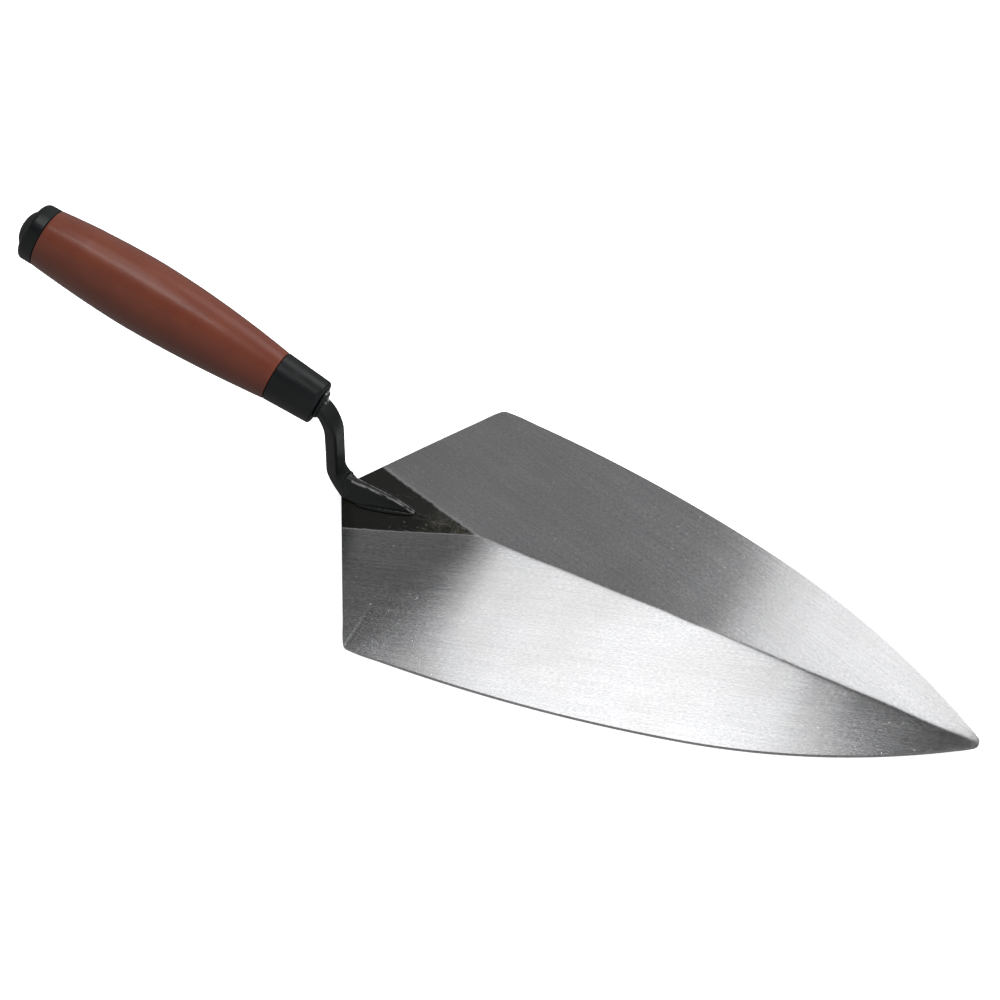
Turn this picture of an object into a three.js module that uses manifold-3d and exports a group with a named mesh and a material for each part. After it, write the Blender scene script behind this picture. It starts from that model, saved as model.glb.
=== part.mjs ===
// Brick trowel, Philadelphia pattern, for laying bricks: a pressed steel blade with a crease down its
// middle, a cranked steel tang welded to the blade's heel, and a soft-grip handle driven onto the tang.
// Millimetres, +Z up. The blade points along +X and lies on its two long edges at z = 0.
import * as THREE from "three";
import { mergeVertices } from "three/addons/utils/BufferGeometryUtils.js";
import Module from "manifold-3d";

const wasm = await Module();
wasm.setup();

// Blade
const bladeLength = 278; // heel point, where the two heel edges would meet, to tip
const bladeWidth = 141; // across the two heel corners
const bladeThickness = 1.5;
const heelDepth = 40; // the widest corners lie this far in front of the heel point
const heelPointHalf = 5; // half width of the flat that blunts the heel point
const heelCrown = 1.8; // crease above the two edges at the heel
const heelCrownRun = 73; // the crease rises over this length
const crownHeight = 5.7; // crease above the two edges at its highest
const crownRun = 128; // from here the crease falls to the tip
const toeLift = 2.4; // the tip's rise off the table
const toeLiftRun = 100; // length of blade behind the tip that lifts
const restLand = 2; // flat ground under each long edge
const cornerRadius = 3.5;
const tipRadius = 3.5;
const sideLean = THREE.MathUtils.degToRad(2.6); // inward lean of the long edge at the corner
const sideTurn = THREE.MathUtils.degToRad(12.2); // turn of the long edge's first, flat arc
const sideRadius = 633; // radius of that arc; the second arc runs on from it to the tip

// Handle, placed by the middle of its front face
const handleSetback = 8; // that point lies this far behind the heel point
const handleRise = 50.1; // and this far above the table
const handleTilt = THREE.MathUtils.degToRad(15.85); // the rear end is the high one
const handleArch = 1.1; // the handle's axis is a shallow arch, this high between front and cap
const ferruleLength = 20.5;
const ferruleFrontRadius = 9.4;
const ferruleWall = 2.5; // thickness of its front wall
const ferruleEdge = 1.1; // rounding of its front edge
const gripLength = 108;
const gripFrontRadius = 10.5;
const gripBellyRadius = 15.1;
const gripRearRadius = 12.45;
const gripBellyBack = 64; // the belly lies this far behind the front of the grip
const gripFrontPower = 1.8; // how full the curve is in front of the belly
const gripRearPower = 1.75; // and behind it
const gripWall = 3.2; // soft layer over the core
const keyRibCount = 5; // rings on the core that lock the soft layer
const keyRibHeight = 1;
const keyRibHalf = 1.5; // half of a ring's crest
const keyRibFlank = 1; // run of each of its sloping flanks
const capLength = 6.8; // rim, front to rear
const capRearRadius = 12.4; // the rim tapers to this before its rounding
const capEdge = 2.3; // rounding of the rim's rear edge
const bossRadius = 8.4; // domed middle of the cap
const bossProud = 4.2; // dome behind the rim
const bossRecess = 0.5; // depth of the groove around the dome
const spigotRadius = 6;
const spigotLength = 13;

// Tang
const spikeLength = 96; // inside the handle
const spikeRadius = 4.2; // at the shoulder
const spikeTipRadius = 3;
const spikeChamfer = 2.5;
const shoulderRadius = 6.2;
const shoulderThickness = 1.2;
const shoulderEdge = 0.4;
const neckDepth = 5.4; // fore and aft
const neckTopDepth = 4.5; // the same where it leaves the shoulder
const neckWidth = 8.6; // side to side
const neckRounding = 1.3;
const neckSetback = 1.9; // middle of the upright neck, behind the heel point
const neckLow = 1.3; // the neck leaves the shoulder this far below the handle's axis
const bendDrop = 15; // height of the bend between shoulder and upright neck
const bendLead = 2; // how far the bend holds the handle's direction
const bendFollow = 7; // and how far it holds the upright neck's
const flareHeight = 11; // height over which the neck leans forward into the foot
const flareWidth = 10.4;
const flareDepth = 6.6;
const flareForward = 5; // middle of the flare's lower end, in front of the heel point
const flareEase = 1.6; // above 1 the flare starts slowly
const footLength = 34.4; // heel point to the foot's front end
const footHalfWidth = 6;
const footWidestAt = 10; // the foot is widest this far in front of the heel point
const footEdge = 0.6; // thickness of the foot at its rim
const crestBackHeight = 8.6; // crest above the blade's crease, at the neck
const crestFrontHeight = 4.9; // and where it breaks down to the blade
const crestLength = 24.7; // heel point to that break
const crestBackHalf = 1.5; // half widths of the crest's narrow flat
const crestFrontHalf = 0.7;
const crestHalfMost = 0.8; // share of the foot's half width that the crest may take
const flankOut = 0.5; // each flank bends inwards halfway from rim to crest
const flankUp = 0.38; // at this share of the height

// Weld
const weldWidth = 2;
const weldHeight = 1.2;
const weldEndSize = 0.25; // size of the bead's ends, as a share of its middle
const weldFullness = 0.35; // smaller keeps the bead thick for longer

const fitGap = 0.3; // clearance between pieces that touch

// Fineness of round shapes, in points or steps
const lathePoints = 40;
const gripSteps = 18;
const heelSteps = 7;
const cornerSteps = 5;
const sideSteps = 9;
const toeSteps = 14;
const tipSteps = 6;
const bendSteps = 12;
const flareSteps = 7;
const neckCornerSteps = 3;
const ferruleEdgeSteps = 4;
const capEdgeSteps = 5;
const domeSteps = 7;
const weldSteps = 16;
const weldRoundSteps = 6;
const samePoint = 1e-4; // points closer than this are one

const steel = new THREE.MeshStandardMaterial({ color: 0x9a9c9e, metalness: 0.9, roughness: 0.35 });
const lacquer = new THREE.MeshStandardMaterial({ color: 0x121314, metalness: 0.2, roughness: 0.4 });
const blackPlastic = new THREE.MeshStandardMaterial({ color: 0x17191a, metalness: 0, roughness: 0.45 });
const corePlastic = new THREE.MeshStandardMaterial({ color: 0x2a2b2d, metalness: 0, roughness: 0.6 });
const brownRubber = new THREE.MeshStandardMaterial({ color: 0x7a4030, metalness: 0, roughness: 0.6 });

function mesh(name, geometry, material) {
  const flat = geometry.index ? geometry.toNonIndexed() : geometry;
  flat.computeVertexNormals();
  const result = new THREE.Mesh(flat, material);
  result.name = name;
  return result;
}

// A closed solid through rings of points, each ring a list of Vector3 of the same length.
function loft(rings) {
  const positions = rings.flat().flatMap((point) => [point.x, point.y, point.z]);
  const count = rings[0].length;
  const faces = [];
  for (let ring = 0; ring + 1 < rings.length; ring += 1) {
    for (let side = 0; side < count; side += 1) {
      const near = ring * count + side;
      const next = ring * count + ((side + 1) % count);
      faces.push(near, next, next + count, near, next + count, near + count);
    }
  }
  for (const [ring, flip] of [[0, true], [rings.length - 1, false]]) {
    const outline = rings[ring];
    const centre = outline.reduce((sum, point) => sum.add(point), new THREE.Vector3());
    centre.divideScalar(count);
    const middle = positions.length / 3;
    positions.push(centre.x, centre.y, centre.z);
    for (let side = 0; side < count; side += 1) {
      const near = ring * count + side;
      const next = ring * count + ((side + 1) % count);
      faces.push(...(flip ? [middle, next, near] : [middle, near, next]));
    }
  }
  const geometry = new THREE.BufferGeometry();
  geometry.setAttribute("position", new THREE.Float32BufferAttribute(positions, 3));
  geometry.setIndex(signedVolume(positions, faces) < 0 ? faces.reverse() : faces);
  return geometry;
}

function signedVolume(positions, faces) {
  const corner = (index) => new THREE.Vector3().fromArray(positions, 3 * index);
  let sum = 0;
  for (let face = 0; face < faces.length; face += 3) {
    sum += corner(faces[face]).dot(corner(faces[face + 1]).cross(corner(faces[face + 2])));
  }
  return sum / 6;
}

function toManifold(geometry) {
  const bare = geometry.clone();
  bare.deleteAttribute("normal");
  bare.deleteAttribute("uv");
  const merged = mergeVertices(bare, samePoint);
  const vertProperties = new Float32Array(merged.attributes.position.array);
  const triVerts = new Uint32Array(merged.index.array);
  return new wasm.Manifold(new wasm.Mesh({ numProp: 3, vertProperties, triVerts }));
}

function union(geometries) {
  const solid = geometries.map(toManifold).reduce((sum, item) => sum.add(item));
  const { vertProperties, triVerts } = solid.getMesh();
  const geometry = new THREE.BufferGeometry();
  geometry.setAttribute("position", new THREE.Float32BufferAttribute(vertProperties, 3));
  geometry.setIndex([...triVerts]);
  return geometry;
}

// Turned solid around the handle's axis, from [radius, distance in front of the handle's front face].
function turned(profile) {
  const points = profile.map(([radius, along]) => new THREE.Vector2(radius, along));
  const geometry = new THREE.LatheGeometry(points, lathePoints);
  geometry.deleteAttribute("normal");
  geometry.deleteAttribute("uv");
  const closed = mergeVertices(geometry, samePoint);
  closed.setIndex(dropSlivers([...closed.index.array]));
  closed.rotateZ(-Math.PI / 2);
  const faces = [...closed.index.array];
  if (signedVolume(closed.attributes.position.array, faces) < 0) closed.setIndex(faces.reverse());
  return arched(closed);
}

function lerp(from, to, share) {
  return from + (to - from) * share;
}

function dropSlivers(faces) {
  const kept = [];
  for (let face = 0; face < faces.length; face += 3) {
    const [a, b, c] = faces.slice(face, face + 3);
    if (a !== b && b !== c && c !== a) kept.push(a, b, c);
  }
  return kept;
}

// Points on an arc from one direction to another, both ends included.
function arc(centre, radius, from, to, steps) {
  const points = [];
  for (let step = 0; step <= steps; step += 1) {
    const angle = from + ((to - from) * step) / steps;
    points.push([centre[0] + radius * Math.cos(angle), centre[1] + radius * Math.sin(angle)]);
  }
  return points;
}

// ---------------------------------------------------------------- blade

// Half outline of the blade from heel point to tip, as [distance from the heel point, half width].
function bladeOutline() {
  const halfWidth = bladeWidth / 2;
  const heelSlope = Math.atan2(halfWidth, heelDepth);
  const tangent = cornerRadius * Math.tan((heelSlope + sideLean) / 2);
  const sideStart = [heelDepth + tangent * Math.cos(sideLean), halfWidth - tangent * Math.sin(sideLean)];
  const up = Math.PI / 2;
  const cornerCentre = [
    sideStart[0] - cornerRadius * Math.sin(sideLean),
    sideStart[1] - cornerRadius * Math.cos(sideLean),
  ];
  const corner = arc(cornerCentre, cornerRadius, up + heelSlope, up - sideLean, cornerSteps);

  const sideCentre = [
    sideStart[0] - sideRadius * Math.sin(sideLean),
    sideStart[1] - sideRadius * Math.cos(sideLean),
  ];
  const joinLean = sideLean + sideTurn;
  const side = arc(sideCentre, sideRadius, up - sideLean, up - joinLean, sideSteps).slice(1);

  const join = side[side.length - 1];
  const inward = [-Math.sin(joinLean), -Math.cos(joinLean)];
  const tipCentre = [bladeLength - tipRadius, 0];
  const offset = [join[0] - tipCentre[0], join[1] - tipCentre[1]];
  const reach = inward[0] * offset[0] + inward[1] * offset[1] + tipRadius;
  const toeRadius = (tipRadius ** 2 - offset[0] ** 2 - offset[1] ** 2) / (2 * reach);
  const toeCentre = [join[0] + toeRadius * inward[0], join[1] + toeRadius * inward[1]];
  const tipTurn = Math.atan2(tipCentre[1] - toeCentre[1], tipCentre[0] - toeCentre[0]);
  const toe = arc(toeCentre, toeRadius, up - joinLean, tipTurn, toeSteps).slice(1);
  const tip = arc(tipCentre, tipRadius, tipTurn, tipTurn / (2 * tipSteps), tipSteps).slice(1);
  const heel = [];
  for (let step = 0; step < heelSteps; step += 1) {
    const half = heelPointHalf + ((corner[0][1] - heelPointHalf) * step) / heelSteps;
    heel.push([heelEdge(half), half]);
  }
  return [...heel, ...corner, ...side, ...toe, ...tip];
}

// How far in front of the heel point the heel's edge lies, at a distance from the middle.
function heelEdge(y) {
  return (heelDepth * Math.abs(y)) / (bladeWidth / 2);
}

const outline = bladeOutline();

// Half width between the long edges; in the heel it stays that of the corners.
function sideHalfWidth(x) {
  const beyond = outline.findIndex((point) => point[0] > x);
  if (x <= heelDepth || beyond <= 0) return x <= heelDepth ? bladeWidth / 2 : outline.at(-1)[1];
  const [before, after] = [outline[beyond - 1], outline[beyond]];
  return before[1] + ((after[1] - before[1]) * (x - before[0])) / (after[0] - before[0]);
}

function edgeLift(x) {
  const run = Math.max(0, x - (bladeLength - toeLiftRun)) / toeLiftRun;
  return toeLift * run ** 2;
}

// Height of the crease above the edges: low at the heel, level in the middle, none at the tip.
function crown(x) {
  const back = THREE.MathUtils.smoothstep(heelCrownRun - x, 0, heelCrownRun);
  const front = Math.max(0, x - crownRun) / (bladeLength - crownRun);
  return (crownHeight - (crownHeight - heelCrown) * back) * Math.max(0, 1 - front ** 2);
}

function bladeTop(x, y) {
  return bladeThickness + edgeLift(x) + crown(x) * (1 - Math.min(1, Math.abs(y) / sideHalfWidth(x)));
}

function bladeUnderside(x, y) {
  const hollowHalf = Math.max(sideHalfWidth(x) - restLand, sideHalfWidth(x) / 2);
  return edgeLift(x) + crown(x) * Math.max(0, 1 - Math.abs(y) / hollowHalf);
}

function blade() {
  const shares = [0, 1 / 3, 2 / 3, 1];
  const rings = outline.map(([x, half]) => {
    const landStart = Math.max(half - restLand, half / 2);
    const columns = [...shares.map((share) => share * landStart), half];
    const across = [...columns.slice(1).reverse().map((y) => -y), ...columns];
    const top = across.map((y) => new THREE.Vector3(x, y, bladeTop(x, y)));
    const under = across.map((y) => new THREE.Vector3(x, y, bladeUnderside(x, y)));
    return [...top, ...under.reverse()];
  });
  return mesh("blade", loft(rings), steel);
}

// ---------------------------------------------------------------- tang

// The handle's arch: the axis rises to its middle, in the handle's own frame.
function arched(geometry) {
  const position = geometry.attributes.position;
  const half = (ferruleLength + gripLength) / 2;
  for (let index = 0; index < position.count; index += 1) {
    const run = (position.getX(index) + half) / half;
    position.setZ(index, position.getZ(index) + handleArch * (1 - run ** 2));
  }
  return geometry;
}

const handlePlace = new THREE.Matrix4()
  .makeTranslation(-handleSetback, 0, handleRise)
  .multiply(new THREE.Matrix4().makeRotationY(handleTilt));

function spikeRadiusAt(depth) {
  return spikeRadius + ((spikeTipRadius - spikeRadius) * depth) / spikeLength;
}

// Shoulder in front of the handle and the tapered spike inside it, in the handle's own frame.
function shoulderAndSpike() {
  const front = fitGap + shoulderThickness;
  return turned([
    [0, front],
    [shoulderRadius - shoulderEdge, front],
    [shoulderRadius, front - shoulderEdge],
    [shoulderRadius, fitGap],
    [spikeRadius, fitGap],
    [spikeRadiusAt(spikeLength - spikeChamfer), spikeChamfer - spikeLength],
    [spikeTipRadius / 2, -spikeLength],
    [0, -spikeLength],
  ]);
}

// Rounded rectangle around a centre, with its depth along one direction and its width along Y.
function barSection(centre, depthDirection, depth, width) {
  const corners = [[1, 1], [-1, 1], [-1, -1], [1, -1]];
  const points = [];
  corners.forEach(([deep, wide], index) => {
    const from = (index * Math.PI) / 2;
    const middle = [deep * (depth / 2 - neckRounding), wide * (width / 2 - neckRounding)];
    for (const [u, v] of arc(middle, neckRounding, from, from + Math.PI / 2, neckCornerSteps)) {
      const point = centre.clone().addScaledVector(depthDirection, u);
      point.y += v;
      points.push(point);
    }
  });
  return points;
}

// Forged neck: out of the shoulder along the handle's axis, down, and forward into the foot.
function neck() {
  const axis = new THREE.Vector3(1, 0, 0).transformDirection(handlePlace);
  const start = new THREE.Vector3(fitGap + shoulderThickness / 2, 0, -neckLow).applyMatrix4(handlePlace);
  const bendEnd = new THREE.Vector3(-neckSetback, 0, handleRise - bendDrop);
  const bend = new THREE.CubicBezierCurve3(
    start,
    start.clone().addScaledVector(axis, bendLead),
    bendEnd.clone().setZ(bendEnd.z + bendFollow),
    bendEnd,
  );
  const rings = [];
  for (let step = 0; step <= bendSteps; step += 1) {
    const share = step / bendSteps;
    const tangent = bend.getTangent(share);
    const depthDirection = new THREE.Vector3(-tangent.z, 0, tangent.x);
    const depth = lerp(neckTopDepth, neckDepth, share);
    rings.push(barSection(bend.getPoint(share), depthDirection, depth, neckWidth));
  }
  const flareBottom = bladeTop(0, 0) + fitGap + footEdge;
  for (let step = 0; step <= flareSteps; step += 1) {
    const share = step / flareSteps;
    const ease = share ** flareEase;
    const centre = new THREE.Vector3(lerp(-neckSetback, flareForward, ease), 0, flareBottom);
    centre.z += flareHeight * (1 - share);
    const depth = lerp(neckDepth, flareDepth, ease);
    const width = lerp(neckWidth, flareWidth, ease);
    rings.push(barSection(centre, new THREE.Vector3(1, 0, 0), depth, width));
  }
  return loft(rings);
}

// Half width of the foot on the blade: along the blunt heel, out to the widest place, in to the nose.
function footHalf(x) {
  if (x <= footWidestAt) return lerp(heelPointHalf, footHalfWidth, x / footWidestAt);
  return lerp(footHalfWidth, crestFrontHalf, (x - footWidestAt) / (footLength - footWidestAt));
}

// Foot: a narrow gusset on the blade's crease, with a flat crest that falls towards the front.
function foot() {
  const heel = heelEdge(heelPointHalf);
  const behind = [0, 0.5, 1].map((share) => lerp(heel, footWidestAt, share));
  const middle = [1 / 3, 2 / 3, 1].map((share) => lerp(footWidestAt, crestLength, share));
  const stations = [...behind, ...middle, lerp(crestLength, footLength, 0.5), footLength];
  const rings = stations.map((x) => {
    const half = footHalf(x);
    const back = Math.min(1, x / crestLength);
    const fall = Math.max(0, x - crestLength) / (footLength - crestLength);
    const height = lerp(lerp(crestBackHeight, crestFrontHeight, back), footEdge, fall);
    const crest = bladeTop(x, 0) + fitGap + height;
    const crestHalf = Math.min(lerp(crestBackHalf, crestFrontHalf, back), half * crestHalfMost);
    const rimTop = bladeTop(x, half) + fitGap + footEdge;
    const right = [
      [-half, bladeTop(x, half) + fitGap],
      [-half, rimTop],
      [-lerp(half, crestHalf, flankOut), lerp(rimTop, crest, flankUp)],
      [-crestHalf, crest],
    ];
    const left = right.map(([y, z]) => [-y, z]).reverse();
    const points = [...right, ...left, [0, bladeTop(x, 0) + fitGap]];
    return points.map(([y, z]) => new THREE.Vector3(x, y, z));
  });
  return loft(rings);
}

function tang() {
  const spike = shoulderAndSpike().applyMatrix4(handlePlace);
  return mesh("tang", union([neck(), foot(), spike]), lacquer);
}

// Weld along one side of the foot, lying on the blade. side is +1 on the left, -1 on the right.
function weldBead(name, side) {
  const start = new THREE.Vector2(footWidestAt, footHalfWidth);
  const end = new THREE.Vector2(footLength, crestFrontHalf);
  const along = end.clone().sub(start).normalize();
  const outward = new THREE.Vector2(-along.y, along.x);
  const rings = [];
  for (let step = 0; step <= weldSteps; step += 1) {
    const share = step / weldSteps;
    const base = start.clone().lerp(end, share);
    const swell = Math.max(weldEndSize, Math.sin(Math.PI * share) ** weldFullness);
    const section = arc([0, 0], 1, 0, Math.PI, weldRoundSteps);
    rings.push(section.map(([u, v]) => {
      const across = fitGap + (weldWidth / 2) * (1 - u) * swell;
      const plan = base.clone().addScaledVector(outward, across);
      const height = bladeTop(plan.x, plan.y) + fitGap + v * weldHeight * swell;
      return new THREE.Vector3(plan.x, side * plan.y, height);
    }));
  }
  return mesh(name, loft(rings), lacquer);
}

// ---------------------------------------------------------------- handle

const gripFront = -ferruleLength;
const gripRear = gripFront - gripLength;
const noseRadius = gripFrontRadius - gripWall;

function gripRadius(along) {
  const belly = gripFront - gripBellyBack;
  const infront = along > belly;
  const run = Math.abs(along - belly) / (infront ? gripBellyBack : gripLength - gripBellyBack);
  const endRadius = infront ? gripFrontRadius : gripRearRadius;
  return gripBellyRadius - (gripBellyRadius - endRadius) * run ** (infront ? gripFrontPower : gripRearPower);
}

// Outside of the core under the grip, front to rear, with its key ribs; the sleeve's inside is the
// same curve with a clearance added.
function coreCurve(clearance) {
  const pitch = gripLength / keyRibCount;
  const points = [[gripRadius(gripFront) - gripWall + clearance, gripFront]];
  for (let rib = 0; rib < keyRibCount; rib += 1) {
    const middle = gripFront - pitch * (rib + 0.5);
    const bottom = gripRadius(middle) - gripWall + clearance;
    points.push([bottom, middle + keyRibHalf + keyRibFlank + clearance]);
    points.push([bottom + keyRibHeight, middle + keyRibHalf + clearance]);
    points.push([bottom + keyRibHeight, middle - keyRibHalf - clearance]);
    points.push([bottom, middle - keyRibHalf - keyRibFlank - clearance]);
  }
  points.push([gripRadius(gripRear) - gripWall + clearance, gripRear]);
  return points;
}

function ferrule() {
  const edgeCentre = [ferruleFrontRadius - ferruleEdge, -ferruleEdge];
  const edge = arc(edgeCentre, ferruleEdge, Math.PI / 2, 0, ferruleEdgeSteps);
  const profile = [
    [spikeRadius + fitGap, 0],
    ...edge,
    [gripFrontRadius, gripFront],
    [noseRadius + fitGap, gripFront],
    [noseRadius + fitGap, -ferruleWall],
    [spikeRadius + fitGap, -ferruleWall],
    [spikeRadius + fitGap, 0],
  ];
  return mesh("ferrule", turned(profile), blackPlastic);
}

function handleCore() {
  const front = -ferruleWall - fitGap;
  const boreEnd = -spikeLength - fitGap;
  const mouth = gripRear + spigotLength + fitGap;
  const profile = [
    [spikeRadiusAt(-front) + fitGap, front],
    [noseRadius, front],
    ...coreCurve(0),
    [spigotRadius + fitGap, gripRear],
    [spigotRadius + fitGap, mouth],
    [spikeTipRadius + fitGap, Math.max(mouth, boreEnd)],
    [spikeRadiusAt(-front) + fitGap, front],
  ];
  return mesh("handle_core", turned(profile), corePlastic);
}

function gripSleeve() {
  const outside = [];
  for (let step = 0; step <= gripSteps; step += 1) {
    const along = gripFront - fitGap - ((gripLength - fitGap) * step) / gripSteps;
    outside.push([gripRadius(along), along]);
  }
  const inside = coreCurve(fitGap).map(([radius, along]) => [radius, Math.min(along, gripFront - fitGap)]);
  const profile = [...outside, ...inside.reverse(), outside[0]];
  return mesh("grip_sleeve", turned(profile), brownRubber);
}

function endCap() {
  const front = gripRear - fitGap;
  const rear = front - capLength;
  const rim = arc([capRearRadius - capEdge, rear + capEdge], capEdge, 0, -Math.PI / 2, capEdgeSteps);
  const dome = [];
  for (let step = 0; step <= domeSteps; step += 1) {
    const angle = (Math.PI / 2) * (step / domeSteps);
    dome.push([bossRadius * Math.cos(angle), rear + bossRecess - (bossProud + bossRecess) * Math.sin(angle)]);
  }
  const profile = [
    [0, front + spigotLength],
    [spigotRadius, front + spigotLength],
    [spigotRadius, front],
    [gripRearRadius, front],
    ...rim,
    ...dome,
  ];
  return mesh("end_cap", turned(profile), blackPlastic);
}

// ---------------------------------------------------------------- assembly

const trowel = new THREE.Group();
trowel.add(blade(), tang(), weldBead("weld_bead_left", 1), weldBead("weld_bead_right", -1));
const handle = new THREE.Group();
handle.applyMatrix4(handlePlace);
handle.add(ferrule(), handleCore(), gripSleeve(), endCap());
trowel.add(handle);

// The origin is under the middle of the whole trowel, on the table.
const box = new THREE.Box3().setFromObject(trowel, true);
trowel.position.set(-(box.min.x + box.max.x) / 2, 0, -box.min.z);

const group = new THREE.Group();
group.add(trowel);
export default group;
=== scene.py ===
"""Looks of the brick trowel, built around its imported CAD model. Metres, +Z up, the blade along +X."""
import math

import bmesh
import bpy
import numpy as np
from mathutils import Matrix, Vector, noise


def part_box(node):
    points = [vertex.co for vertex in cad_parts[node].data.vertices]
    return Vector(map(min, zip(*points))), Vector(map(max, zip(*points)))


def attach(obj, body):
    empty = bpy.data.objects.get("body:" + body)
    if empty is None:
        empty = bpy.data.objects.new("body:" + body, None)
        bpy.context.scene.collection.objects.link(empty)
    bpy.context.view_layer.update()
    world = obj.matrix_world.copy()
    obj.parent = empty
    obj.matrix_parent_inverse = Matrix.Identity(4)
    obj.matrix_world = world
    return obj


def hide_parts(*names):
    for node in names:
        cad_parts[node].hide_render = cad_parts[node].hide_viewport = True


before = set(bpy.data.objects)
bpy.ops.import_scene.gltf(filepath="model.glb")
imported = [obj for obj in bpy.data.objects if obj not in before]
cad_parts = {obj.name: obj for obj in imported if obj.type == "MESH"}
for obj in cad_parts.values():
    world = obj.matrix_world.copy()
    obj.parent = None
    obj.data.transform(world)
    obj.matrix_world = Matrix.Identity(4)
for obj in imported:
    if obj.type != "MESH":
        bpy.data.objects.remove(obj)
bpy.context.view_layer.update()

MM = 0.001

# ------------------------------------------------------------ sizes

# Blade
ROW_PITCH = 2 * MM  # longest step between rows of the blade's mesh, along its outline
HALF_COLUMNS = 40  # columns in each half of the blade
COLUMN_POWER = 1.8  # above 1 the columns crowd towards the crease
CREASE_ROUNDING = 0.8 * MM
CREASE_WANDER = 0.5 * MM  # the pressed crease isn't quite straight
EDGE_BEVEL = 0.25 * MM
EDGE_RAGGED = 0.05 * MM
REST_LAND = 2 * MM  # flat ground under each long edge, as in the CAD
WAVE_HEIGHT = 0.035 * MM  # waves left by pressing and grinding
WAVE_LENGTH = 45 * MM
SHARP_ANGLE = math.radians(28)  # the blade's edges are sharper than this, its crease isn't
LACQUER_BEHIND_TIP = 214.5 * MM  # from the tip back to the lacquer's front end, on the crease
LACQUER_SLOPE = 0.348  # its half width grows by this share of the distance behind that end
LACQUER_SKEW = 0.037  # by this much more on the right, and less on the left

# Handle
HANDLE_TILT = math.radians(15.85)  # slope of the handle's axis in the CAD
TURNED_STEPS = 112
TURNED_SHARP_ANGLE = math.radians(40)
SLEEVE_PITCH = 1.3 * MM
FERRULE_PITCH = 1.5 * MM
LIP = 0.35 * MM  # rounding of the sleeve's ends
STEP_HEIGHT = 0.16 * MM  # the mould's step near the sleeve's rear
STEP_BACK = 19 * MM  # in front of the sleeve's rear
STEP_RUN = 0.35 * MM
SEAM_HEIGHT = 0.07 * MM
SEAM_WIDTH = 0.5 * MM
MOULDED_HEIGHT = 0.04 * MM  # unevenness of the sleeve and the cap
FERRULE_HEIGHT = 0.03 * MM  # and of the ferrule
CAP_EDGE = 2.3 * MM
CAP_LENGTH = 6.8 * MM
CAP_TAPER = 0.05 * MM
CAP_LIP = 0.3 * MM
BOSS_RADIUS = 8.4 * MM
BOSS_PROUD = 4.2 * MM
BOSS_RECESS = 0.5 * MM
BOSS_FILLET = 0.9 * MM
BOSS_STEPS = 20
SPIGOT_RADIUS = 6 * MM
SPIGOT_CHAMFER = 0.5 * MM
FERRULE_REAR_CHAMFER = 0.25 * MM

# Tang and welds
TANG_VOXEL = 0.33 * MM
WELD_VOXEL = 0.22 * MM
FIT_GAP = 0.3 * MM  # left between neighbouring solids in the CAD
FORGE_HEIGHT = 0.07 * MM
FORGE_LENGTH = 5 * MM
RIPPLE_PITCH = 1.6 * MM
RIPPLE_HEIGHT = 0.1 * MM
WELD_SWELL = 0.2 * MM  # to reach the foot and the blade
WELD_INWARD = 0.5 * MM  # the beads are pushed into the foot's flanks
WELD_SINK = 0.3  # they are lower than the CAD's by this share
WELD_NARROW = 0.1  # and narrower by this one
CREST_BACK_HALF = 1.5 * MM  # half widths of the foot's crest, as in the CAD
CREST_FRONT_HALF = 0.7 * MM
CREST_LENGTH = 28 * MM
CREST_BACK = 6 * MM  # its rear end, in front of the heel point
CREST_DEPTH = 0.7 * MM  # this far below its top it still wears
WORN_WIDTH = 0.3 * MM  # of the bright line along each side of the crest
FOOT_TOP = 14 * MM  # the foot is all below this
FOOT_DROP = FIT_GAP + 0.04 * MM  # closes the gap under the foot
FOOT_DROP_FADE = 1.5 * MM  # height over which that fades out
SHOULDER_REACH = 2.5 * MM  # the shoulder is this near to the ferrule's front
# strength of the painted highlight on the shoulder's upper face, stored with the crest's wear
SHOULDER_GLINT = 0.9
HEEL_POINT_BEHIND_TIP = 278 * MM
LUMP_PLACE = (4.2 * MM, 2.4 * MM, 11.6 * MM)  # a spatter of weld beside the neck, from the heel point
LUMP_REACH = 2.3 * MM
LUMP_SIZE = 2.2 * MM
LUMP_SWELL = Vector((-0.1, 0.8, 0.6))

_, blade_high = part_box("blade")
TIP_X = blade_high.x
HALF_WIDTH = blade_high.y
LACQUER_FRONT_X = TIP_X - LACQUER_BEHIND_TIP
HEEL_POINT_X = TIP_X - HEEL_POINT_BEHIND_TIP


# ------------------------------------------------------------ the CAD's own points

def cad_points(node):
    """The CAD node's vertices, one row each."""
    return np.array([vertex.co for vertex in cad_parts[node].data.vertices], float)


def blade_sections():
    """One row for each section of the CAD blade, heel to tip: x, half width, then the heights of
    the crease and the edge on top, and of the crease and the edge underneath."""
    points = cad_points("blade")
    close = 2e-6
    rows = []
    for x in np.unique(points[:, 0].round(6)):
        section = points[abs(points[:, 0] - x) < close]
        half = section[:, 1].max()
        crease = section[abs(section[:, 1]) < close, 2]
        edge = section[abs(section[:, 1]) > half - close, 2]
        rows.append([x, half, crease.max(), edge.max(), crease.min(), edge.min()])
    return np.array(rows)


def finer(rows, pitch, measured=2):
    """Rows no further apart than pitch, on a smooth curve through the given ones.
    The distance between rows is measured in their first columns."""
    steps = np.linalg.norm(np.diff(rows[:, :measured], axis=0), axis=1)
    run = np.concatenate([[0], np.cumsum(steps)])
    slope = np.gradient(rows, run, axis=0)
    made = []
    for i, length in enumerate(steps):
        count = max(1, math.ceil(length / pitch))
        for step in range(count):
            t = step / count
            start = (1 + 2 * t) * (1 - t) ** 2 * rows[i] + t * (1 - t) ** 2 * length * slope[i]
            end = t * t * (3 - 2 * t) * rows[i + 1] + t * t * (t - 1) * length * slope[i + 1]
            made.append(start + end)
    made.append(rows[-1])
    return np.array(made)


# ------------------------------------------------------------ meshes

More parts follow.
